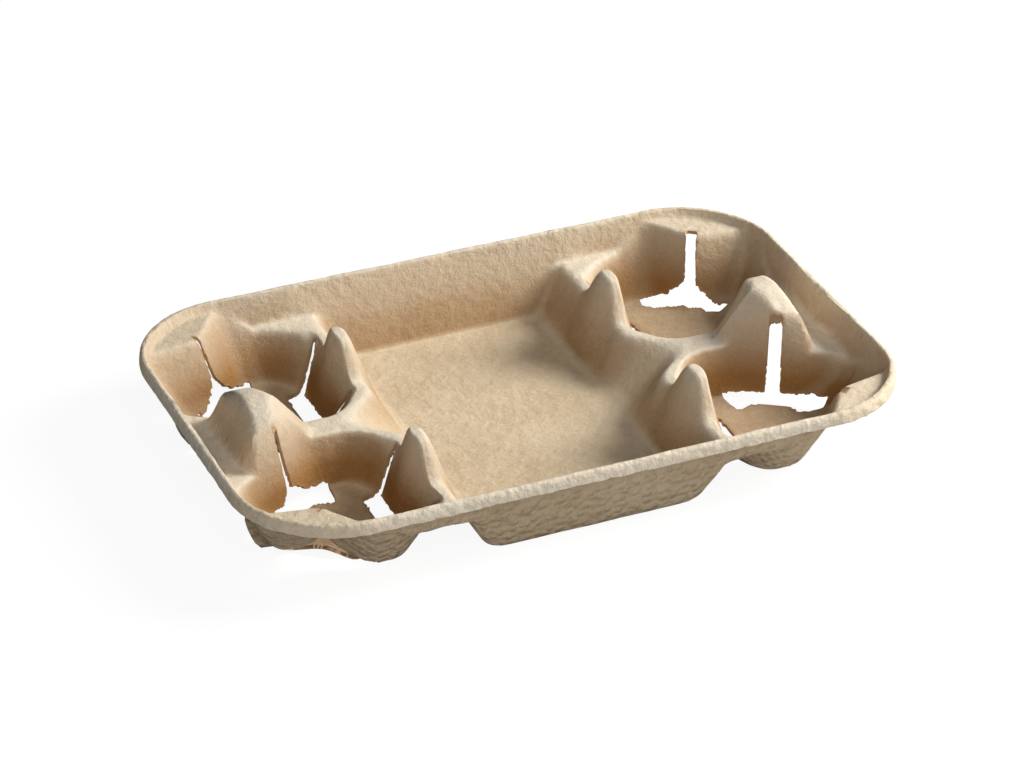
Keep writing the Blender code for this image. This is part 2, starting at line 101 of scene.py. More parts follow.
# Cup pockets: plan points at the floor and at the rim, from a pocket's centre
POCKET_X = 0.1180
POCKET_Y = 0.0560
POCKET_END = (0.0430, 0.0665)
SIDE_LOBE_REACH = (0.0380, 0.0640)
RIDGE_LOBE_REACH = (0.0380, 0.0530)
RIM_SIDE_CORNER = ((0.0040, 0.0380), (0.0120, 0.0640))
RIM_SIDE_APEX = ((0.0206, 0.0179), (0.0303, 0.0367))
RIDGE_SIDE_CORNER = ((0.0040, 0.0380), (0.0100, 0.0530))
RIDGE_SIDE_APEX = ((0.0205, 0.0253), (0.0270, 0.0350))
END_CORNER = ((0.0430, 0.0100), (0.0600, 0.0310))
RIDGE_END_CORNER = ((0.0340, 0.0202), (0.0434, 0.0324))
RIDGE_END_TIP = ((0.0430, 0.0030), (0.0727, 0.0170))
INNER_CORNER = ((-0.0150, 0.0380), (-0.0183, 0.0626))
RIDGE_INNER_CORNER = ((-0.0150, 0.0380), (-0.0314, 0.0454))
INNER_APEX = ((-0.0230, 0.0190), (-0.0476, 0.0452))
RIDGE_INNER_APEX = ((-0.0230, 0.0190), (-0.0468, 0.0288))
DIVIDER_FACE = (0.0230, 0.0335)
DIVIDER_RECESS = 0.0082
DIVIDER_RECESS_FULL = 0.6
DIVIDER_HALF_WIDTH = 0.0245
DIVIDER_MOST_TURN = 1.5
LEAST_SIZE = 0.0020
LEAST_SHARE = 0.05
LEAST_FACE_SHARE = 0.02
LOBE_ROUNDING = 0.0040
CREASE_ROUNDING = 0.0060
POCKET_FILLET = 0.0050
CORNER_FILLET = 0.0150
CORNER_FILLET_TURN = 0.50
CORNER_FILLET_SPAN = 0.90
EDGE_FILLET = 0.0045

# Land between the wells
LEDGE_DEPTH = 0.0170
CORNER_LEDGE_DEPTH = 0.0045
CORNER_LEDGE_START = 0.0080
CORNER_LEDGE_RUN = 0.0160
CORNER_LEDGE_SIDE = 0.0060
LEDGE_STEP_RUN = 0.0200
POST_RISE = 0.0034
POST_SWELL = 1.35
POST_TOP_BLEND = 0.3
POST_HALF_WIDTH = 0.0230
POST_WALL_SLOPE = 1.05
POST_INSET = 0.0200
POST_INSET_RUN = 0.0100
HUMP_RISE = 0.0100
HUMP_START_X = 0.1180
HUMP_SWEEP = 0.45
HUMP_INNER_RUN = 0.0215
HUMP_OUTER_RUN = 0.0095
HUMP_END_X = 0.1650
HUMP_CROWN = 0.25
HUMP_CROWN_HALF_WIDTH = 0.0210
HUMP_HALF_WIDTH = 0.0310
HUMP_SIDE_RUN = 0.0075
HUMP_ROUNDING = 0.13
HUMP_END_ROUNDING = 0.5
DIVIDER_CREST = 0.0045
DIVIDER_CREST_DIP = 0.0020

# Slits and openings, in plan from a pocket's centre. A slit has its width at its start, its middle and
# its end, first those of the right pockets and then those of the left where they differ.
RIM_SIDE_SLIT = ((0.0235, 0.0240), (0.0318, 0.0398))
RIDGE_SIDE_SLIT = ((0.0218, 0.0270), (0.0277, 0.0362))
RIM_SIDE_WIDTHS = ((0.0070, 0.0062, 0.0064), (0.0036, 0.0018, 0.0015))
RIDGE_SIDE_WIDTHS = ((0.0084, 0.0074, 0.0068), (0.0045, 0.0032, 0.0026))
RIM_INNER_SLIT = ((-0.0225, 0.0190), (-0.0385, 0.0350))
RIDGE_INNER_SLIT = ((-0.0225, 0.0185), (-0.0375, 0.0262))
INNER_WIDTHS = (0.0048, 0.0032, 0.0014)
RIM_SIDE_PLATE = ((-0.0005, 0.0350), (0.0050, 0.0297), (0.0098, 0.0282), (0.0154, 0.0235),
                  (0.0213, 0.0177), (0.0270, 0.0149), (0.0294, 0.0117), (0.0353, 0.0092))
RIDGE_SIDE_PLATE = ((-0.0025, 0.0300), (-0.0012, 0.0242), (0.0020, 0.0224), (0.0069, 0.0249),
                    (0.0147, 0.0228), (0.0200, 0.0195), (0.0255, 0.0156), (0.0283, 0.0082),
                    (0.0343, 0.0057), (0.0384, 0.0063))
PLATE_INNER_EDGE = -0.0140
INNER_OPENING_HALF_WIDTH = 0.0215
INNER_OPENING_ROUNDING = 0.0050

# How high the flaps end above the floor, by the turn in degrees round the pocket's centre
RIM_SIDE_FLAPS = ((13.0, 0.0040), (24.0, 0.0056), (33.0, 0.0095), (41.0, 0.0142), (48.0, 0.0190),
                  (54.0, 0.0142), (60.0, 0.0102), (71.0, 0.0058), (82.0, 0.0033), (92.0, 0.0024))
RIGHT_RIDGE_FLAPS = ((7.0, 0.0058), (20.0, 0.0053), (32.0, 0.0038), (48.0, 0.0042), (65.0, 0.0030),
                     (95.0, 0.0024))
LEFT_RIDGE_FLAPS = ((7.0, 0.0058), (32.0, 0.0052), (42.0, 0.0060), (50.0, 0.0120), (62.0, 0.0096),
                    (72.0, 0.0046), (95.0, 0.0026))
INNER_FLAP_LOW = 0.0018
INNER_SLIT_TOP = 0.0270
INNER_OPENING_REACH = -0.0400
INNER_HEIGHT_SHARE = 0.6
FLAP_HEIGHT_SHARE = 0.5

# Unevenness, in layers: depth in metres, waves to a metre, and seed
TEAR_WAVES = ((0.00055, 260.0, 1), (0.00035, 800.0, 2))
PRESS_WAVES = ((0.00028, 55.0, 3), (0.00014, 190.0, 4))
HEM_WAVES = ((0.0007, 260.0, 5), (0.0004, 900.0, 6))
SEED_SHIFT = (3.7, 1.3, 5.1)

# Widths of the bands beside the tears and the rim's crest
REFINED_BAND = 0.0016
TORN_INSIDE = 0.0010
NEAR_CREST = 0.0002
SETTLED_INSIDE = 0.0001

# Underside: below this height it lies square to the wall, and above it straight below the upper face
SQUARE_BELOW = 0.0200
SQUARE_RUN = 0.0060
LEAST_FACING = 0.22
LEAST_HEIGHT = 0.6 * WALL

# Where shade and light are painted on the fibre, and where it is torn
STEEP_FACING = 0.90
STEEP_RUN = 0.45
# Painted shade: steep walls turn dark brown, more the deeper they lie and most in the pockets; low pocket
# floors and the lower face get some too
SHALLOW_PAINTED_SHADE = 0.12
DEEP_PAINTED_SHADE = 0.66
POCKET_PAINTED_SHADE = 0.54
PLATE_PAINTED_SHADE = 0.42
LOWER_PAINTED_SHADE = 0.25
POCKET_SHADE_X = 0.0840
# Painted light: the lands turn pale from this height up, less on steep faces and on the corner ledges
PAINTED_LIGHT_FROM = 0.0190
PAINTED_LIGHT_RUN = 0.0090
LESS_PAINTED_LIGHT_ON_STEEP = 0.55
LESS_PAINTED_LIGHT_ON_CORNER = 0.6
# On the pocket floors the torn colour spreads wider: painted shade beside the openings
PLATE_LIP = 0.0050
PLATE_TEAR_AND_SHADE_WIDTH = 0.0022
TEAR_WIDTH = 0.0007
TEAR_FADE = 0.8
LOWER_TEAR = 0.6
RIM_BAND = 0.0030
RIM_BAND_RUN = 0.0015


def smooth_low(first, second, blend):
    """The lower of two values, rounded where they are closer than the blend."""
    near = np.maximum(blend - np.abs(first - second), 0.0) / blend
    return np.minimum(first, second) - near * near * blend * 0.25


def smooth_high(first, second, blend):
    """The higher of two values, rounded in the same way."""
    return -smooth_low(-first, -second, blend)


def bell(distance, half_width):
    """A smooth rise from 0 at the half width to 1 at the middle."""
    share = np.clip(np.abs(distance) / half_width, 0.0, 1.0)
    return 0.5 * (1.0 + np.cos(math.pi * share))


def rim_distance(x, y):
    """Distance inside the rounded rectangle of the rim's crest."""
    over_x = x - (HALF_LENGTH - CORNER_RADIUS)
    over_y = y - (HALF_WIDTH - CORNER_RADIUS)
    outside = np.hypot(np.maximum(over_x, 0.0), np.maximum(over_y, 0.0))
    inside = np.minimum(np.maximum(over_x, over_y), 0.0)
    return CORNER_RADIUS - outside - inside


def line_radius(turn, first, second):
    """Polar distance to the straight face through two plan points, both given as x and y."""
    across_x = first[1] - second[1]
    across_y = second[0] - first[0]
    offset = across_x * first[0] + across_y * first[1]
    facing = across_x * np.cos(turn) + across_y * np.sin(turn)
    size = np.hypot(across_x, across_y)
    return np.abs(offset) / np.maximum(np.sign(offset) * facing, LEAST_FACE_SHARE * size)


def pocket_radius(angle, height):
    """Plan radius of a pocket's wall at a height, from the pocket's centre."""
    rise = (height - FLOOR) / DEPTH
    rimward = np.sin(angle) > 0.0
    turn = np.arctan2(np.abs(np.sin(angle)), np.cos(angle))

    def size(pair):
        """A length at this height, from its values at the floor and at the rim."""
        return np.maximum(pair[0] + (pair[1] - pair[0]) * rise, LEAST_SIZE)

    def point(pair, other):
        """A plan point at this height: the first pair's on the rim side, the other's on the ridge side."""
        low = np.where(rimward, pair[0][0], other[0][0]), np.where(rimward, pair[0][1], other[0][1])
        top = np.where(rimward, pair[1][0], other[1][0]), np.where(rimward, pair[1][1], other[1][1])
        return low[0] + (top[0] - low[0]) * rise, low[1] + (top[1] - low[1]) * rise

    reach = np.where(rimward, size(SIDE_LOBE_REACH), size(RIDGE_LOBE_REACH))
    side_end = reach / np.maximum(np.sin(turn), LEAST_SHARE)
    apex = point(RIM_SIDE_APEX, RIDGE_SIDE_APEX)
    outer_side = line_radius(turn, point(RIM_SIDE_CORNER, RIDGE_SIDE_CORNER), apex)
    outer_side = smooth_low(side_end, outer_side, CREASE_ROUNDING)
    corner = point(END_CORNER, RIDGE_END_CORNER)
    tapered = line_radius(turn, corner, point(RIDGE_END_TIP, RIDGE_END_TIP))
    outer_end = line_radius(turn, apex, corner)
    outer_end = np.where(rimward, outer_end, smooth_low(outer_end, tapered, 2.0 * CREASE_ROUNDING))
    end_face = size(POCKET_END) / np.maximum(np.cos(turn), LEAST_SHARE)
    outer_end = smooth_low(outer_end, end_face, CREASE_ROUNDING)
    outer = smooth_high(outer_side, outer_end, LOBE_ROUNDING)
    inner = line_radius(turn, point(INNER_APEX, RIDGE_INNER_APEX), point(INNER_CORNER, RIDGE_INNER_CORNER))
    inner = smooth_low(side_end, inner, 2.0 * CREASE_ROUNDING)
    face = size(DIVIDER_FACE)
    crossing = face * np.tan(np.minimum(math.pi - turn, DIVIDER_MOST_TURN))
    recess = DIVIDER_RECESS * np.clip(rise / DIVIDER_RECESS_FULL, 0.0, 1.0)
    recess = recess * (1.0 - bell(crossing, DIVIDER_HALF_WIDTH))
    divider = (face + recess) / np.maximum(-np.cos(turn), LEAST_SHARE)
    inner = smooth_low(inner, divider, LOBE_ROUNDING)
    return np.where(np.cos(turn) > 0.0, outer, inner)


def pocket_height(x, y):
    """Height of a pocket's wall over a point of the plan."""
    angle = np.arctan2(y - POCKET_Y, x - POCKET_X)
    reach = np.hypot(x - POCKET_X, y - POCKET_Y)
    low = np.full(reach.shape, FLOOR - DEPTH)
    high = np.full(reach.shape, CREST + DEPTH)
    for _ in range(BISECTIONS):
        middle = 0.5 * (low + high)
        inside = pocket_radius(angle, middle) < reach
        low = np.where(inside, middle, low)
        high = np.where(inside, high, middle)
    wall = smooth_high(0.5 * (low + high), rim_wall(x, y), EDGE_FILLET)
    lift = bell(np.abs(angle) - CORNER_FILLET_TURN, CORNER_FILLET_SPAN)
    return smooth_high(wall, FLOOR, POCKET_FILLET + (CORNER_FILLET - POCKET_FILLET) * lift)


def rim_wall(x, y):
    """Height of the outer wall that runs down from the rim all round."""
    return CREST - (rim_distance(x, y) - CREST_FLAT) * DEPTH / SIDE_WALL_RUN


def tray_top_x(y):
    """Where the food tray's end wall reaches the ledge."""
    run = TRAY_WALL_RUN + (TRAY_GROOVE_RUN - TRAY_WALL_RUN) * bell(y, TRAY_GROOVE_HALF_WIDTH)
    return TRAY_FOOT_X + run


def tray_height(x, y):
    """Height of the food tray's floor and walls over a point of the plan."""
    slope = (DEPTH - LEDGE_DEPTH) / (tray_top_x(y) - TRAY_FOOT_X)
    slope = slope + POST_WALL_SLOPE * bell(y - POCKET_Y, POST_HALF_WIDTH)
    side = FLOOR + (x - TRAY_FOOT_X) * slope
    walls = smooth_high(side, rim_wall(x, y), TRAY_FILLET)
    return smooth_high(walls, FLOOR, TRAY_FLOOR_FILLET)


def hump_share(x, y):
    """Share of the hump's full height: inner flank, crowned top, outer end and sides."""
    inner = (x - HUMP_START_X - HUMP_SWEEP * np.abs(y)) / HUMP_INNER_RUN
    outer = (HUMP_END_X - x) / HUMP_OUTER_RUN
    side = (HUMP_HALF_WIDTH - np.abs(y)) / HUMP_SIDE_RUN
    crown = 1.0 - HUMP_CROWN * (y / HUMP_CROWN_HALF_WIDTH) ** 2
    ends = smooth_low(outer, side, HUMP_END_ROUNDING)
    return np.clip(smooth_low(smooth_low(inner, crown, HUMP_ROUNDING), ends, HUMP_ROUNDING), 0.0, 1.0)


def land_height(x, y):
    """Height of what stands between the wells: ledges, posts, humps and rim."""
    corner = np.clip((x - POCKET_X + CORNER_LEDGE_START) / CORNER_LEDGE_RUN, 0.0, 1.0)
    corner = corner * np.clip((y - POCKET_Y + CORNER_LEDGE_SIDE) / LEDGE_STEP_RUN, 0.0, 1.0)
    land = CREST - LEDGE_DEPTH + corner * (LEDGE_DEPTH - CORNER_LEDGE_DEPTH)
    post_in = np.clip((POCKET_X - POST_INSET - x) / POST_INSET_RUN, 0.0, 1.0)
    post = smooth_low(POST_SWELL * bell(y - POCKET_Y, POST_HALF_WIDTH), 1.0, POST_TOP_BLEND)
    land = land + (POST_RISE + LEDGE_DEPTH) * post * post_in
    land = land + (HUMP_RISE + LEDGE_DEPTH) * hump_share(x, y)
    land = smooth_high(land, rim_wall(x, y), EDGE_FILLET)
    near_rim = rim_distance(x, y) < 2.0 * CREST_FLAT + EDGE_FILLET
    return np.where(near_rim, smooth_low(land, CREST + 0.0 * x, CREST_FLAT), land)


def sheet_height(x, y):
    """Height of the sheet's upper face over a point of the plan."""
    x, y = np.abs(x), np.abs(y)
    wells = smooth_low(pocket_height(x, y), tray_height(x, y), EDGE_FILLET)
    return smooth_low(land_height(x, y), wells, EDGE_FILLET)


def divider_x(y):
    """Where the nets of the pockets and of the food tray meet."""
    return tray_top_x(y) + DIVIDER_CREST - DIVIDER_CREST_DIP * bell(y, TRAY_GROOVE_HALF_WIDTH)


# How finely the sheet's net is divided
FLOOR_ROWS = 46
STEEP_ROWS = 18
STEEP_ROWS_FROM = 0.1000
RIDGE_SPOKES = 40
END_SPOKES = 26
CORNER_SPOKES = 34
SIDE_SPOKES = 26
TRAY_FLOOR_COLUMNS = 12
TRAY_FLOOR_REACH = 0.9
TRAY_FLOOR_LAST = 0.97
TRAY_WALL_COLUMNS = 14
FLOOR_SHARES = (0.0, 0.2, 0.4, 0.55, 0.67, 0.77, 0.85, 0.92, 0.97)
WALL_SHARES = (0.0, 0.02, 0.045, 0.075, 0.11, 0.15, 0.2, 0.25, 0.3, 0.36, 0.42, 0.48, 0.54, 0.6, 0.66, 0.72,
               0.78, 0.84, 0.89, 0.93, 0.97, 1.0)
LAND_SHARES = (0.06, 0.14, 0.24, 0.35, 0.46, 0.57, 0.68, 0.78, 0.87, 0.94, 1.0)
EDGE_EVENING = 6
BISECTIONS = 30
TRIM_ROUNDS = 6
MERGE_DISTANCE = 0.00002
MIRROR_MERGE_DISTANCE = 0.00005
SKIRT_PROFILE = ((0.0, 0.0), (0.30, 0.02), (0.55, 0.08), (0.75, 0.22), (0.87, 0.42), (0.94, 0.62),
                 (0.98, 0.82), (1.0, 1.0))


def spread(count):
    """Shares from 0 up to but not at 1."""
    return np.arange(count) / count


def tray_rows():
    """Distances of the net's rows from the long axis, closest on the back wall."""
    low = spread(FLOOR_ROWS) * STEEP_ROWS_FROM
    steep = STEEP_ROWS_FROM + spread(STEEP_ROWS) * (HALF_WIDTH - CREST_FLAT - STEEP_ROWS_FROM)
    crest = [HALF_WIDTH - CREST_FLAT, HALF_WIDTH - 0.5 * CREST_FLAT, HALF_WIDTH]
    return np.concatenate([low, steep, crest])


def cell_outline(rows):
    """Outer points of the net round one pocket, and the first that lies on the divider."""
    start = float(divider_x(np.float64(0.0)))
    top = float(divider_x(np.float64(HALF_WIDTH)))
    straight = HALF_WIDTH - CORNER_RADIUS
    middle_x = HALF_LENGTH - CORNER_RADIUS
    ridge = start + (HALF_LENGTH - start) * spread(RIDGE_SPOKES)
    points = [(x, 0.0) for x in ridge]
    points += [(HALF_LENGTH, straight * share) for share in spread(END_SPOKES)]
    for share in spread(CORNER_SPOKES):
        turn = share * math.pi / 2.0
        points.append((middle_x + CORNER_RADIUS * math.cos(turn), straight + CORNER_RADIUS * math.sin(turn)))
    points += [(middle_x + (top - middle_x) * share, HALF_WIDTH) for share in spread(SIDE_SPOKES)]
    first_divider = len(points)
    points += [(float(divider_x(np.float64(y))), y) for y in rows[::-1][:-1]]
    return np.array(points), first_divider


def evened(values):
    """A closed row of values, its last the same as its first, with sudden steps spread out."""
    ring = values[:-1]
    for _ in range(EDGE_EVENING):
        ring = 0.25 * np.roll(ring, 1) + 0.5 * ring + 0.25 * np.roll(ring, -1)
    return np.append(ring, ring[0])


def pocket_points(outline):
    """Plan points of the rings round a pocket, one column to a spoke."""
    angle = np.arctan2(outline[:, 1] - POCKET_Y, outline[:, 0] - POCKET_X)
    reach = np.hypot(outline[:, 1] - POCKET_Y, outline[:, 0] - POCKET_X)
    low = np.full(angle.shape, FLOOR)
    high = np.full(angle.shape, CREST + HUMP_RISE)
    for _ in range(BISECTIONS):
        middle = 0.5 * (low + high)
        radius = pocket_radius(angle, middle)
        x = POCKET_X + radius * np.cos(angle)
        y = POCKET_Y + radius * np.sin(angle)
        above = (radius < reach - CREST_FLAT) & (middle < land_height(x, y))
        low = np.where(above, middle, low)
        high = np.where(above, high, middle)
    low = evened(low)
    foot = pocket_radius(angle, np.full(angle.shape, FLOOR))
    radii = [foot * share for share in FLOOR_SHARES]
    radii += [pocket_radius(angle, FLOOR + (low - FLOOR) * share) for share in WALL_SHARES]
    edge = np.minimum(radii[-1], reach - CREST_FLAT)
    radii = [np.minimum(ring, edge) for ring in radii]
    radii += [edge + (reach - edge) * share for share in LAND_SHARES]
    radii = np.array(radii)
    return POCKET_X + radii * np.cos(angle), POCKET_Y + radii * np.sin(angle)


def deselect_all():
    if bpy.context.object and bpy.context.object.mode != "OBJECT":
        bpy.ops.object.mode_set(mode="OBJECT")
    bpy.ops.object.select_all(action="DESELECT")


def laid_grid(name, x, y, z):
    """A grid primitive whose points are laid at the given rows and columns."""
    deselect_all()
    rows, columns = x.shape
    bpy.ops.mesh.primitive_grid_add(x_subdivisions=columns - 1, y_subdivisions=rows - 1, size=1.0)
    made = bpy.context.object
    made.name = name
    points = np.stack([x, y, z], axis=-1).reshape(-1, 3)
    made.data.vertices.foreach_set("co", points.ravel())
    made.data.update()
    return made


def joined(pieces, name):
    """One object from several."""
    deselect_all()
    for piece in pieces:
        piece.select_set(True)
    bpy.context.view_layer.objects.active = pieces[0]
    bpy.ops.object.join()
    made = bpy.context.object
    made.name = name
    made.data.name = name
    return made


def merged(piece):
    """Join the points that two nets share."""
    bpy.ops.object.mode_set(mode="EDIT")
    bpy.ops.mesh.select_all(action="SELECT")
    bpy.ops.mesh.remove_doubles(threshold=MERGE_DISTANCE)
    bpy.ops.object.mode_set(mode="OBJECT")
    return piece


def skirt_points(crest):
    """The rolled rim: rows that run outwards and down from the crest."""
    centre_x = np.clip(crest[:, 0], 0.0, HALF_LENGTH - CORNER_RADIUS)
    centre_y = np.clip(crest[:, 1], 0.0, HALF_WIDTH - CORNER_RADIUS)
    out = crest - np.stack([centre_x, centre_y], axis=-1)
    out /= np.linalg.norm(out, axis=1)[:, None]
    shares = np.array(SKIRT_PROFILE)
    x = crest[None, :, 0] + shares[:, :1] * SKIRT_FLARE * out[None, :, 0]
    y = crest[None, :, 1] + shares[:, :1] * SKIRT_FLARE * out[None, :, 1]
    z = CREST - shares[:, 1:] * SKIRT_DROP + 0.0 * x
    return x, y, z


def quarter_sheet():
    """The upper face of one quarter: pocket, food tray and rolled rim."""
    rows = tray_rows()
    outline, first_divider = cell_outline(rows)
    closed = np.concatenate([outline, outline[:1]])
    x, y = pocket_points(closed)
    pocket = laid_grid("pocket_net", x, y, sheet_height(x, y))
    top = tray_top_x(rows)
    over_floor = np.linspace(0.0, TRAY_FLOOR_REACH, TRAY_FLOOR_COLUMNS)
    over_floor = np.append(over_floor, TRAY_FLOOR_LAST)
    columns = [share * TRAY_FOOT_X + 0.0 * rows for share in over_floor]
    up_wall = np.linspace(0.0, 1.0, TRAY_WALL_COLUMNS)
    columns += [TRAY_FOOT_X + share * (top - TRAY_FOOT_X) for share in up_wall]
    columns += [top + 0.5 * (divider_x(rows) - top), divider_x(rows)]
    x = np.array(columns).T
    y = np.repeat(rows[:, None], x.shape[1], axis=1)
    tray = laid_grid("tray_net", x, y, sheet_height(x, y))
    over_tray = np.stack([x[-1, ::-1], y[-1, ::-1]], axis=-1)[1:]
    crest = np.concatenate([outline[RIDGE_SPOKES:first_divider + 1], over_tray])
    rim = laid_grid("rim_net", *skirt_points(crest))
    sheet = joined([pocket, tray, rim], "carrier_sheet")
    return merged(sheet)


def mirrored(piece):
    """The whole sheet from its quarter, with its upper face turned up."""
    mirror = piece.modifiers.new("Mirror", "MIRROR")
    mirror.use_axis = (True, True, False)
    mirror.merge_threshold = MIRROR_MERGE_DISTANCE
    bpy.ops.object.modifier_apply(modifier=mirror.name)
    bpy.ops.object.mode_set(mode="EDIT")
    bpy.ops.mesh.select_all(action="SELECT")
    bpy.ops.mesh.normals_make_consistent(inside=False)
    bpy.ops.object.mode_set(mode="OBJECT")
    normals = np.zeros(len(piece.data.polygons) * 3)
    piece.data.polygons.foreach_get("normal", normals)
    if normals[2::3].sum() < 0.0:
        piece.data.flip_normals()
    return piece


def ragged(points, scale, seed):
    """Smooth noise from -1 to 1 at each point."""
    shift = Vector([seed * step for step in SEED_SHIFT])
    return np.array([noise.noise(Vector(point) * scale + shift) for point in points])


def waves(points, layers):
    """Layers of smooth noise, each with its depth, its scale and its seed."""
    total = 0.0
    for depth, scale, seed in layers:
        total = total + depth * ragged(points, scale, seed)
    return total


def slit_depth(u, v, slit, widths):
    """Depth inside a square-ended slit, with its width at the start, the middle and the end."""
    start, end = np.array(slit)
    length = np.linalg.norm(end - start)
    along = (end - start) / length
    run = (u - start[0]) * along[0] + (v - start[1]) * along[1]
    across = np.abs((u - start[0]) * along[1] - (v - start[1]) * along[0])
    half = 0.5 * np.interp(run / length, (0.0, 0.5, 1.0), widths)
    return np.minimum(half - across, np.minimum(length - run, half + run))


def beyond_plate(u, v, points):
    """How far a point lies beyond an edge that runs round the pocket's centre."""
    points = np.array(points)
    angles = np.arctan2(points[:, 1], points[:, 0])[::-1]
    radii = np.hypot(points[:, 0], points[:, 1])[::-1]
    turn = np.arctan2(v, u)
    inside = (turn >= angles[0]) & (turn <= angles[-1])
    return np.hypot(u, v) - np.interp(turn, angles, radii), inside


def cut_depth(points):
    """How deep each point lies inside a slit or an opening; negative outside them."""
    x, y, z = points.T
    u = np.abs(x) - POCKET_X
    v = np.abs(y) - POCKET_Y
    tear = waves(points, TEAR_WAVES)
    depth = np.full(u.shape, -1.0)
    right = x > 0.0
    rim_side = (1.0, RIM_SIDE_SLIT, RIM_SIDE_WIDTHS, RIM_INNER_SLIT, RIM_SIDE_PLATE, RIM_SIDE_FLAPS,
                RIM_SIDE_FLAPS)
    ridge_side = (-1.0, RIDGE_SIDE_SLIT, RIDGE_SIDE_WIDTHS, RIDGE_INNER_SLIT, RIDGE_SIDE_PLATE,
                  RIGHT_RIDGE_FLAPS, LEFT_RIDGE_FLAPS)
    for side, slit, widths, inner_slit, plate, right_flaps, left_flaps in (rim_side, ridge_side):
        wide = slit_depth(u, v * side, slit, widths[0])
        narrow = slit_depth(u, v * side, slit, widths[1])
        depth = np.maximum(depth, np.where(right, wide, narrow) + tear)
        inner = slit_depth(u, v * side, inner_slit, INNER_WIDTHS)
        depth = np.maximum(depth, np.minimum(inner, INNER_HEIGHT_SHARE * (INNER_SLIT_TOP - z)) + tear)
        beyond, inside = beyond_plate(u, v * side, plate)
        turn = np.degrees(np.arctan2(v * side, u))
        right_flap = np.interp(turn, *np.array(right_flaps).T)
        left_flap = np.interp(turn, *np.array(left_flaps).T)
        flap = FLOOR + np.where(right, right_flap, left_flap)
        opening = np.minimum(beyond + tear, FLAP_HEIGHT_SHARE * (flap - z) + tear)
        depth = np.maximum(depth, np.where(inside, opening, -1.0))
    corner_u = np.maximum(u - PLATE_INNER_EDGE + INNER_OPENING_ROUNDING, 0.0)
    corner_v = np.maximum(np.abs(v) - INNER_OPENING_HALF_WIDTH + INNER_OPENING_ROUNDING, 0.0)
    inner = INNER_OPENING_ROUNDING - np.hypot(corner_u, corner_v)
    inner = np.minimum(inner + tear, INNER_HEIGHT_SHARE * (FLOOR + INNER_FLAP_LOW - z) + tear)
    return np.maximum(depth, np.where(u > INNER_OPENING_REACH, inner, -1.0))


def face_centres(mesh):
    centres = np.zeros(len(mesh.polygons) * 3)
    mesh.polygons.foreach_get("center", centres)
    return centres.reshape(-1, 3)


def vertex_points(mesh):
    points = np.zeros(len(mesh.vertices) * 3)
    mesh.vertices.foreach_get("co", points)
    return points.reshape(-1, 3)


def select_faces(mesh, chosen):
    """Enter edit mode with the chosen faces selected."""
    bpy.ops.object.mode_set(mode="EDIT")
    bpy.ops.mesh.select_mode(type="FACE")
    bpy.ops.mesh.select_all(action="DESELECT")
    bpy.ops.object.mode_set(mode="OBJECT")
    mesh.polygons.foreach_set("select", chosen)
    bpy.ops.object.mode_set(mode="EDIT")


def cut_openings(piece):
    """Refine the net beside each slit and opening, then tear the faces out."""
    mesh = piece.data
    depth = cut_depth(face_centres(mesh))
    select_faces(mesh, np.abs(depth) < REFINED_BAND)
    bpy.ops.mesh.subdivide(number_cuts=1)
    bpy.ops.object.mode_set(mode="OBJECT")
    settle(mesh)
    select_faces(mesh, cut_depth(face_centres(mesh)) > 0.0)
    bpy.ops.mesh.delete(type="FACE")
    bpy.ops.object.mode_set(mode="OBJECT")


def settle(mesh):
    """Lay every point inside the rim back on the pressed surface."""
    points = vertex_points(mesh)
    inside = rim_distance(np.abs(points[:, 0]), np.abs(points[:, 1])) > SETTLED_INSIDE
    points[inside, 2] = sheet_height(points[inside, 0], points[inside, 1])
    mesh.vertices.foreach_set("co", points.ravel())
    mesh.update()


def keep_largest(piece):
    """Drop crumbs of sheet that the tears have parted from the rest."""
    deselect_all()
    bpy.context.view_layer.objects.active = piece
    piece.select_set(True)
    bpy.ops.object.mode_set(mode="EDIT")
    bpy.ops.mesh.select_mode(type="VERT")
    bpy.ops.mesh.select_all(action="DESELECT")
    bpy.ops.object.mode_set(mode="OBJECT")
    middle = int(np.argmin(np.linalg.norm(vertex_points(piece.data), axis=1)))
    piece.data.vertices[middle].select = True
    bpy.ops.object.mode_set(mode="EDIT")
    bpy.ops.mesh.select_linked()
    bpy.ops.mesh.select_all(action="INVERT")
    bpy.ops.mesh.delete(type="VERT")
    bpy.ops.object.mode_set(mode="OBJECT")


def boundary_edges(mesh):
    """Edges that belong to one face only, as pairs of points in their face's order."""
    corners = np.zeros(len(mesh.loops), dtype=np.int64)
    mesh.loops.foreach_get("vertex_index", corners)
    edges = np.zeros(len(mesh.loops), dtype=np.int64)
    mesh.loops.foreach_get("edge_index", edges)
    starts = np.zeros(len(mesh.polygons), dtype=np.int64)
    mesh.polygons.foreach_get("loop_start", starts)
    totals = np.zeros(len(mesh.polygons), dtype=np.int64)
    mesh.polygons.foreach_get("loop_total", totals)
    after = np.arange(len(corners)) + 1
    after[starts + totals - 1] = starts
    counts = np.bincount(edges, minlength=len(mesh.edges))
    lone = counts[edges] == 1
    return np.stack([corners[lone], corners[after[lone]]], axis=-1)


def trim_corner_contacts(piece):
    """Take out faces that touch the rest at one point only, so that the edge is one line."""
    for _ in range(TRIM_ROUNDS):
        mesh = piece.data
        rim = boundary_edges(mesh)
        visits = np.bincount(rim[:, 0], minlength=len(mesh.vertices))
        pinched = set(np.nonzero(visits > 1)[0].tolist())
        if not pinched:
            return
        chosen = [any(index in pinched for index in face.vertices) for face in mesh.polygons]
        select_faces(mesh, chosen)
        bpy.ops.mesh.delete(type="FACE")
        bpy.ops.object.mode_set(mode="OBJECT")


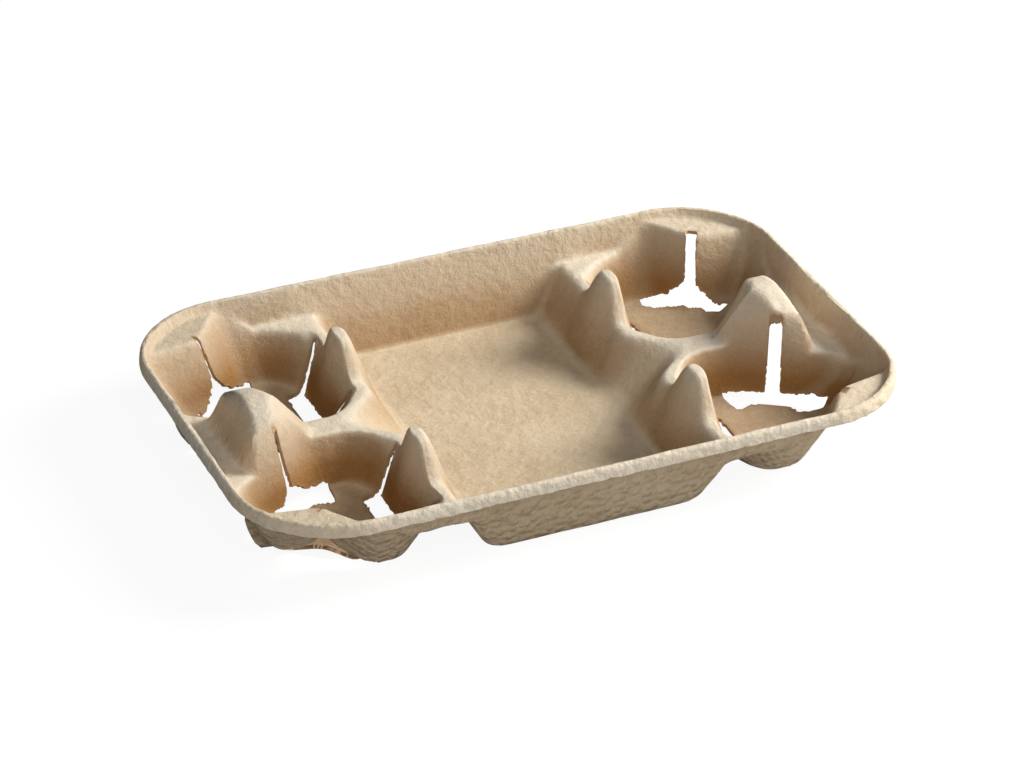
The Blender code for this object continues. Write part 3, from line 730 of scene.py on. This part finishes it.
def soften_tears(piece, steps):
    """Draw the stepped cut edges towards a smooth but uneven line."""
    mesh = piece.data
    points = vertex_points(mesh)
    rim = boundary_edges(mesh)
    inside = rim_distance(np.abs(points[:, 0]), np.abs(points[:, 1])) > TORN_INSIDE
    rim = rim[inside[rim[:, 0]] & inside[rim[:, 1]]]
    for _ in range(steps):
        total = np.zeros_like(points)
        count = np.zeros(len(points))
        for first, second in ((0, 1), (1, 0)):
            np.add.at(total, rim[:, first], points[rim[:, second]])
            np.add.at(count, rim[:, first], 1.0)
        moved = count > 0
        points[moved] = 0.5 * points[moved] + 0.5 * total[moved] / count[moved, None]
    mesh.vertices.foreach_set("co", points.ravel())
    mesh.update()
    settle(mesh)


def vertex_normals(mesh):
    normals = np.zeros(len(mesh.vertices) * 3)
    mesh.vertices.foreach_get("normal", normals)
    return normals.reshape(-1, 3)


def underside_points(points, normals):
    """Where the lower face lies: straight below near the tops, square to the wall lower down."""
    upright = np.clip((points[:, 2] - SQUARE_BELOW) / SQUARE_RUN, 0.0, 1.0)[:, None]
    below = np.zeros_like(points)
    below[:, 2] = -WALL / np.clip(normals[:, 2], LEAST_FACING, 1.0)
    offset = upright * below - (1.0 - upright) * WALL * normals
    distance = rim_distance(np.abs(points[:, 0]), np.abs(points[:, 1]))
    crest = np.abs(distance) < NEAR_CREST
    offset[crest] = (0.0, 0.0, -WALL)
    lean = normals.copy()
    lean[:, 2] += np.clip((points[:, 2] - CREST + SKIRT_DROP) / SKIRT_DROP, 0.0, 1.0)
    lean /= np.linalg.norm(lean, axis=1)[:, None]
    skirt = distance < -NEAR_CREST
    offset[skirt] = -WALL * lean[skirt]
    lower = points + offset
    lower[:, 2] = np.maximum(lower[:, 2], 0.0)
    return lower


def thickened(piece):
    """Give the sheet its wall: a lower face, joined to the upper one along every edge."""
    mesh = piece.data
    top = vertex_points(mesh)
    depth = cut_depth(top)
    distance = rim_distance(np.abs(top[:, 0]), np.abs(top[:, 1]))
    normals = vertex_normals(mesh)
    top = top + normals * waves(top, PRESS_WAVES)[:, None]
    hem = np.clip(-distance / SKIRT_FLARE, 0.0, 1.0) ** 3
    top[:, 2] += hem * waves(top, HEM_WAVES)
    top[:, 2] = np.maximum(top[:, 2], LEAST_HEIGHT)
    low = underside_points(top, normals)
    top = np.clip(top, CAD_BOX[0], CAD_BOX[1])
    low = np.clip(low, CAD_BOX[0], CAD_BOX[1])
    rim = boundary_edges(mesh)
    count = len(top)
    corners = np.zeros(len(mesh.loops), dtype=np.int64)
    mesh.loops.foreach_get("vertex_index", corners)
    totals = np.zeros(len(mesh.polygons), dtype=np.int64)
    mesh.polygons.foreach_get("loop_total", totals)
    faces = np.split(corners, np.cumsum(totals)[:-1])
    walls = np.stack([rim[:, 1], rim[:, 0], rim[:, 0] + count, rim[:, 1] + count], axis=-1)
    built = [face.tolist() for face in faces]
    built += [(face[::-1] + count).tolist() for face in faces]
    built += walls.tolist()
    solid = bpy.data.meshes.new("carrier_tray_solid")
    solid.from_pydata(np.concatenate([top, low]).tolist(), [], built)
    solid.update()
    torn_edge = np.zeros(count)
    torn_edge[rim[:, 0]] = 1.0
    mark_tears(solid, top, depth, distance, torn_edge)
    mark_painted_light(solid, top, normals, distance)
    band = np.clip((RIM_BAND - distance) / RIM_BAND_RUN, 0.0, 1.0)
    add_attribute(solid, "rim", band, band)
    add_attribute(solid, "underside", np.zeros(count), np.ones(count))
    piece.data = solid
    return piece


def mark_tears(solid, top, depth, distance, torn_edge):
    """Mark the torn edges and a narrow band beside them; the torn colour is the fibre's own, and its wider
    band on the pocket floors is painted shade beside the openings.
    """
    on_plate = top[:, 2] < FLOOR + PLATE_LIP
    # The wider band on the pocket floors is painted shade
    torn = np.exp(-np.maximum(-depth, 0.0) / np.where(on_plate, PLATE_TEAR_AND_SHADE_WIDTH, TEAR_WIDTH))
    torn = np.where(distance > TORN_INSIDE, np.maximum(torn * TEAR_FADE, torn_edge), 0.0)
    add_attribute(solid, "torn", torn, LOWER_TEAR * torn)


def mark_painted_light(solid, top, normals, distance):
    """Mark the painted shade on the steep walls and pocket floors, and the painted light on the lands
    between the wells.
    """
    # Painted shade on steep walls, browner the deeper they lie and most in the pockets; the low pocket
    # floors get it too
    steep = np.clip((STEEP_FACING - normals[:, 2]) / STEEP_RUN, 0.0, 1.0) * (distance > 0.0)
    deep = np.clip((CREST - top[:, 2]) / DEPTH, 0.0, 1.0)
    in_pocket = np.clip((np.abs(top[:, 0]) - POCKET_SHADE_X) / EDGE_FILLET, 0.0, 1.0)
    painted_shade = np.minimum(SHALLOW_PAINTED_SHADE + (DEEP_PAINTED_SHADE + POCKET_PAINTED_SHADE * in_pocket) * deep, 1.0)
    plate = PLATE_PAINTED_SHADE * in_pocket * np.clip((PAINTED_LIGHT_FROM - top[:, 2]) / PAINTED_LIGHT_FROM, 0.0, 1.0)
    add_attribute(solid, "steep", np.maximum(steep * painted_shade, plate), LOWER_PAINTED_SHADE * steep)
    corner = np.clip((np.abs(top[:, 0]) - POCKET_X) / CORNER_LEDGE_RUN, 0.0, 1.0)
    corner = corner * np.clip((np.abs(top[:, 1]) - POCKET_Y) / LEDGE_STEP_RUN, 0.0, 1.0)
    # Painted light on the high lands between the wells, less on steep faces and corner ledges
    painted_light = np.clip((top[:, 2] - PAINTED_LIGHT_FROM) / PAINTED_LIGHT_RUN, 0.0, 1.0)
    painted_light = painted_light * (1.0 - LESS_PAINTED_LIGHT_ON_STEEP * steep) * (1.0 - LESS_PAINTED_LIGHT_ON_CORNER * corner)
    add_attribute(solid, "painted_light", painted_light, 0.0 * painted_light)


def add_attribute(mesh, name, upper, lower):
    """Give the points of the upper and the lower face a value each."""
    layer = mesh.attributes.new(name, "FLOAT", "POINT")
    layer.data.foreach_set("value", np.concatenate([upper, lower]).astype(np.float32))


class Wire:
    """A shader socket that Python's arithmetic joins to others through Math nodes."""

    def __init__(self, nodes, socket):
        self.nodes = nodes
        self.socket = socket

    def maths(self, operation, first, second=0.0):
        return self.nodes.add("ShaderNodeMath", {"operation": operation}, {0: first, 1: second})

    def __add__(self, other):
        return self.maths("ADD", self, other)

    __radd__ = __add__

    def __sub__(self, other):
        return self.maths("SUBTRACT", self, other)

    def __rsub__(self, other):
        return self.maths("SUBTRACT", other, self)

    def __mul__(self, other):
        return self.maths("MULTIPLY", self, other)

    __rmul__ = __mul__

    def __pow__(self, other):
        return self.maths("POWER", self, other)

    def __rpow__(self, other):
        return self.maths("POWER", other, self)


class Shading:
    """A material's nodes, made by one method."""

    def __init__(self, name):
        self.material = bpy.data.materials.new(name)
        self.material.use_nodes = True
        self.tree = self.material.node_tree
        self.shader = self.tree.nodes["Principled BSDF"]

    def link(self, node, values):
        """Join or set a node's sockets, by name or by number."""
        for key, value in values.items():
            socket = node.inputs[key]
            if isinstance(value, Wire):
                self.tree.links.new(value.socket, socket)
            else:
                socket.default_value = value

    def add(self, kind, settings, values, output=0):
        """A new node with its settings and its sockets, as one of its outputs."""
        node = self.tree.nodes.new(kind)
        for key, value in settings.items():
            setattr(node, key, value)
        self.link(node, values)
        return Wire(self, node.outputs[output])

    def attribute(self, name):
        return self.add("ShaderNodeAttribute", {"attribute_name": name}, {}, "Fac")

    def noise(self, place, scale, detail=2.0, roughness=0.5):
        return self.add("ShaderNodeTexNoise", {},
                        {"Vector": place, "Scale": scale, "Detail": detail, "Roughness": roughness})

    def turned(self, place, turn, scale):
        return self.add("ShaderNodeMapping", {}, {"Vector": place, "Rotation": turn, "Scale": scale})

    def between(self, value, low, high):
        """A soft step from 0 at the low value to 1 at the high one."""
        return self.add("ShaderNodeMapRange", {"interpolation_type": "SMOOTHSTEP"},
                        {"Value": value, "From Min": low, "From Max": high})

    def mixed(self, share, first, second):
        """Two colours mixed; the numbers are those of the colour sockets of a Mix node."""
        return self.add("ShaderNodeMix", {"data_type": "RGBA", "blend_type": "MIX"},
                        {0: share, 6: first, 7: second}, 2)


# Fibre patterns: waves to a metre, detail and roughness of a noise, and the band of it that shows
GRAIN = (480.0, 3.0, 0.55)
CLUMPS = (190.0, 2.0, 0.5)
MOTTLE = (26.0, 3.0, 0.55)
SPECKS = (1100.0, 1.0)
PEBBLE_SCALE = 240.0
SPECK_BAND = (0.68, 0.78)
SHADE_BAND = (0.36, 0.62)
STRAND_BAND = (0.52, 0.72)
STRAND_LAYS = (((0.2, 0.1, 0.5), (1500.0, 260.0, 1500.0)),
               ((0.1, 0.3, -0.7), (300.0, 1600.0, 1300.0)),
               ((0.6, -0.4, 0.2), (1300.0, 1300.0, 260.0)))
# Colour of the painted light on the lands between the wells
PAINTED_LIGHT_COLOUR = (0.80, 0.725, 0.60, 1.0)
PALE_STRAND = (0.80, 0.68, 0.50, 1.0)
DARK_SPECK = (0.30, 0.19, 0.10, 1.0)

# How much of each colour shows, and how high each pattern stands in the relief
MOTTLE_SHARE = 0.45
CLUMP_SHARE = 0.3
GRAIN_SHARE = 0.25
PAINTED_LIGHT_SHARE = 0.72
STRAND_SHARE = 0.22
# Share of the pale strands left off where the shade is painted
STRANDS_HIDDEN_BY_SHADE = 0.8
SPECK_SHARE = 0.30
TORN_SHARE = 0.75
TORN_SHARPNESS = 1.5
GRAIN_RELIEF = 0.32
STRAND_RELIEF = 0.10
CLUMP_RELIEF = 1.3
PEBBLE_RELIEF = 4.6
RIM_RELIEF = 1.2
FIBRE_ROUGHNESS = 0.93
FIBRE_SPECULAR = 0.2
SMOOTH_ANGLE = 55.0


def fibre_material(looks):
    """Natural moulded fibre: matted strands, soft mottling, pebbled outside, torn edges."""
    shading = Shading("natural_moulded_fibre")
    place = shading.add("ShaderNodeTexCoord", {}, {}, "Object")
    underside = shading.attribute("underside")
    torn = shading.attribute("torn")
    rim = shading.attribute("rim")
    steep = shading.attribute("steep")
    strands = None
    for turn, scale in STRAND_LAYS:
        field = shading.noise(shading.turned(place, turn, scale), 1.0, 1.0)
        strand = shading.between(field, *STRAND_BAND)
        strands = strand if strands is None else strands.maths("MAXIMUM", strands, strand)
    grain = shading.noise(place, *GRAIN)
    clumps = shading.noise(place, *CLUMPS)
    mottle = shading.noise(place, *MOTTLE)
    pebble = shading.add("ShaderNodeTexVoronoi", {"feature": "SMOOTH_F1"},
                         {"Vector": place, "Scale": PEBBLE_SCALE, "Smoothness": 0.5, "Randomness": 1.0},
                         "Distance")
    specks = shading.between(shading.noise(place, *SPECKS), *SPECK_BAND)
    light = tuple(looks.fibre_colour) + (1.0,)
    dark = tuple(looks.shade_colour) + (1.0,)
    tear = tuple(looks.torn_colour) + (1.0,)
    wall = tuple(looks.wall_shade_colour) + (1.0,)
    patches = MOTTLE_SHARE * mottle + CLUMP_SHARE * clumps + GRAIN_SHARE * grain
    share = shading.between(patches, *SHADE_BAND)
    colour = shading.mixed(share, dark, light)
    # Painted light: the lands between the wells turn pale
    colour = shading.mixed(PAINTED_LIGHT_SHARE * shading.attribute("painted_light"), colour, PAINTED_LIGHT_COLOUR)
    # Painted shade: dark brown on the steep walls and the low pocket floors
    colour = shading.mixed(steep, colour, wall)
    # Pale strands, mostly left off where the shade is painted
    colour = shading.mixed(STRAND_SHARE * strands * (1.0 - STRANDS_HIDDEN_BY_SHADE * steep), colour, PALE_STRAND)
    colour = shading.mixed(SPECK_SHARE * specks, colour, DARK_SPECK)
    colour = shading.mixed(TORN_SHARE * (torn ** TORN_SHARPNESS), colour, tear)
    height = GRAIN_RELIEF * grain + STRAND_RELIEF * strands + CLUMP_RELIEF * clumps
    height = height + PEBBLE_RELIEF * underside * (1.0 - rim) * (1.0 - pebble) + RIM_RELIEF * rim * clumps
    bump = shading.add("ShaderNodeBump", {},
                       {"Height": height, "Distance": looks.grain_depth, "Strength": 1.0})
    shading.link(shading.shader, {"Base Color": colour, "Normal": bump, "Roughness": FIBRE_ROUGHNESS,
                                  "Specular IOR Level": FIBRE_SPECULAR})
    return shading.material


# Studio
WHITE = (1.0, 1.0, 1.0, 1.0)
STAGE_ROUGHNESS = 0.9
STAGE_SPECULAR = 0.1
STAGE_GLOW = 1.22
FLOOR_SIZE = 12.0
FLOOR_GREY = (0.55, 0.55, 0.55, 1.0)
FLOOR_LIGHTENED = 0.75
CAMERA_AIM = (-0.0137, -0.0261, CREST)
SENSOR_WIDTH = 36.0
FOCAL_WIDTHS = 4000.0 / 1024.0
LIGHT_AIM = (0.0, 0.0, 0.03)
KEY_PLACE = (1.42, -0.20, 0.95)
KEY_SIZE = 0.80
KEY_COLOUR = (1.0, 0.97, 0.93)
FILL_PLACE = (-0.5, -1.5, 1.1)
FILL_SIZE = 1.0
FILL_COLOUR = (0.96, 0.98, 1.0)


def stage_material(name, colour, seen):
    """Matt studio surface that the camera sees lightened towards white."""
    shading = Shading(name)
    shading.link(shading.shader, {"Base Color": colour, "Roughness": STAGE_ROUGHNESS,
                                  "Specular IOR Level": STAGE_SPECULAR})
    glow = shading.add("ShaderNodeEmission", {}, {"Color": WHITE, "Strength": STAGE_GLOW})
    camera = shading.add("ShaderNodeLightPath", {}, {}, "Is Camera Ray")
    lit = Wire(shading, shading.shader.outputs[0])
    both = shading.add("ShaderNodeMixShader", {}, {0: camera * seen, 1: lit, 2: glow})
    shading.link(shading.tree.nodes["Material Output"], {"Surface": both})
    return shading.material


class CarrierLooks(bpy.types.PropertyGroup):
    fibre_colour: FloatVectorProperty(name="Fibre", description="Colour of the dry fibre", subtype="COLOR",
                                      default=(0.70, 0.575, 0.405), min=0.0, max=1.0)
    shade_colour: FloatVectorProperty(name="Fibre shade", description="Colour of the denser patches",
                                      subtype="COLOR", default=(0.60, 0.465, 0.305), min=0.0, max=1.0)
    # Colour of the painted shade on the steep walls and pocket floors
    wall_shade_colour: FloatVectorProperty(name="Wall shade", description="Colour of the shade painted on the steep walls",
                                     subtype="COLOR", default=(0.29, 0.140, 0.040), min=0.0, max=1.0)
    torn_colour: FloatVectorProperty(name="Torn edge", description="Colour of the torn slit edges",
                                     subtype="COLOR", default=(0.42, 0.22, 0.09), min=0.0, max=1.0)
    grain_depth: FloatProperty(name="Grain depth", description="Depth of the fibre's relief", default=0.0007,
                               min=0.0, max=0.003, unit="LENGTH")
    tear_steps: IntProperty(name="Tear smoothing", description="Smoothing passes along the torn edges",
                            default=1, min=0, max=8)


class CarrierStudio(bpy.types.PropertyGroup):
    camera_turn: FloatProperty(name="Camera turn", description="Camera's turn round the carrier, in degrees",
                               default=-23.37)
    camera_rise: FloatProperty(name="Camera rise", description="Camera's rise above the table, in degrees",
                               default=30.90)
    camera_distance: FloatProperty(name="Camera distance", description="Camera to the aim point",
                                   default=2.114, unit="LENGTH")
    key_power: FloatProperty(name="Key light", description="Power of the key light in watts",
                             default=42.0, min=0.0)
    fill_power: FloatProperty(name="Fill light", description="Power of the fill light in watts",
                              default=11.5, min=0.0)
    sky: FloatProperty(name="Sky", description="Strength of the even light all round",
                       default=0.10, min=0.0)


class CARRIER_OT_tray(bpy.types.Operator):
    """Press, slit and finish the fibre tray in place of its plain solid"""
    bl_idname = "carrier.tray"
    bl_label = "Fibre tray"

    def execute(self, context):
        looks = context.scene.carrier_looks
        sheet = mirrored(quarter_sheet())
        cut_openings(sheet)
        trim_corner_contacts(sheet)
        keep_largest(sheet)
        soften_tears(sheet, looks.tear_steps)
        tray = thickened(sheet)
        tray.name = "moulded_tray"
        tray.data.materials.append(fibre_material(looks))
        deselect_all()
        tray.select_set(True)
        context.view_layer.objects.active = tray
        bpy.ops.object.shade_smooth_by_angle(angle=math.radians(SMOOTH_ANGLE))
        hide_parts("carrier_tray")
        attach(tray, "root")
        return {"FINISHED"}


def area_light(name, place, size, power, colour):
    """A square lamp that points at the carrier."""
    deselect_all()
    bpy.ops.object.light_add(type="AREA", location=place)
    lamp = bpy.context.object
    lamp.name = name
    lamp.data.energy = power
    lamp.data.size = size
    lamp.data.color = colour
    lamp.rotation_euler = (Vector(place) - Vector(LIGHT_AIM)).to_track_quat("Z", "Y").to_euler()


class CARRIER_OT_stage(bpy.types.Operator):
    """Lay the floor and set the camera, the lamps and the surrounding light"""
    bl_idname = "carrier.stage"
    bl_label = "Studio"

    def execute(self, context):
        studio = context.scene.carrier_studio
        deselect_all()
        bpy.ops.mesh.primitive_plane_add(size=FLOOR_SIZE, location=(0.0, 0.0, 0.0))
        floor = context.object
        floor.name = "studio_floor"
        floor.data.materials.append(stage_material("studio_floor", FLOOR_GREY, FLOOR_LIGHTENED))
        turn, rise = math.radians(studio.camera_turn), math.radians(studio.camera_rise)
        back = Vector((math.sin(turn) * math.cos(rise), -math.cos(turn) * math.cos(rise), math.sin(rise)))
        aim = Vector(CAMERA_AIM)
        bpy.ops.object.camera_add(location=aim + back * studio.camera_distance)
        camera = context.object
        camera.rotation_euler = back.to_track_quat("Z", "Y").to_euler()
        camera.data.sensor_width = SENSOR_WIDTH
        camera.data.lens = SENSOR_WIDTH * FOCAL_WIDTHS
        context.scene.camera = camera
        area_light("key_light", KEY_PLACE, KEY_SIZE, studio.key_power, KEY_COLOUR)
        area_light("fill_light", FILL_PLACE, FILL_SIZE, studio.fill_power, FILL_COLOUR)
        world = bpy.data.worlds.new("studio_light")
        context.scene.world = world
        world.use_nodes = True
        background = world.node_tree.nodes["Background"]
        background.inputs["Color"].default_value = WHITE
        background.inputs["Strength"].default_value = studio.sky
        context.scene.view_settings.view_transform = "Standard"
        return {"FINISHED"}


class CARRIER_PT_panel(bpy.types.Panel):
    """Sizes, colours and pieces of the cup carrier"""
    bl_idname = "CARRIER_PT_panel"
    bl_label = "Cup carrier"
    bl_space_type = "VIEW_3D"
    bl_region_type = "UI"
    bl_category = "Carrier"

    def draw(self, context):
        for group in (context.scene.carrier_looks, context.scene.carrier_studio):
            column = self.layout.column(align=True)
            for name in group.__annotations__:
                column.prop(group, name)
        for operator in (CARRIER_OT_tray, CARRIER_OT_stage):
            self.layout.operator(operator.bl_idname)


CLASSES = (CarrierLooks, CarrierStudio, CARRIER_OT_tray, CARRIER_OT_stage, CARRIER_PT_panel)


def register():
    for item in CLASSES:
        bpy.utils.register_class(item)
    bpy.types.Scene.carrier_looks = PointerProperty(type=CarrierLooks)
    bpy.types.Scene.carrier_studio = PointerProperty(type=CarrierStudio)


def unregister():
    del bpy.types.Scene.carrier_studio
    del bpy.types.Scene.carrier_looks
    for item in reversed(CLASSES):
        bpy.utils.unregister_class(item)


def main():
    register()
    bpy.ops.carrier.tray()
    bpy.ops.carrier.stage()


if __name__ == "__main__":
    main()
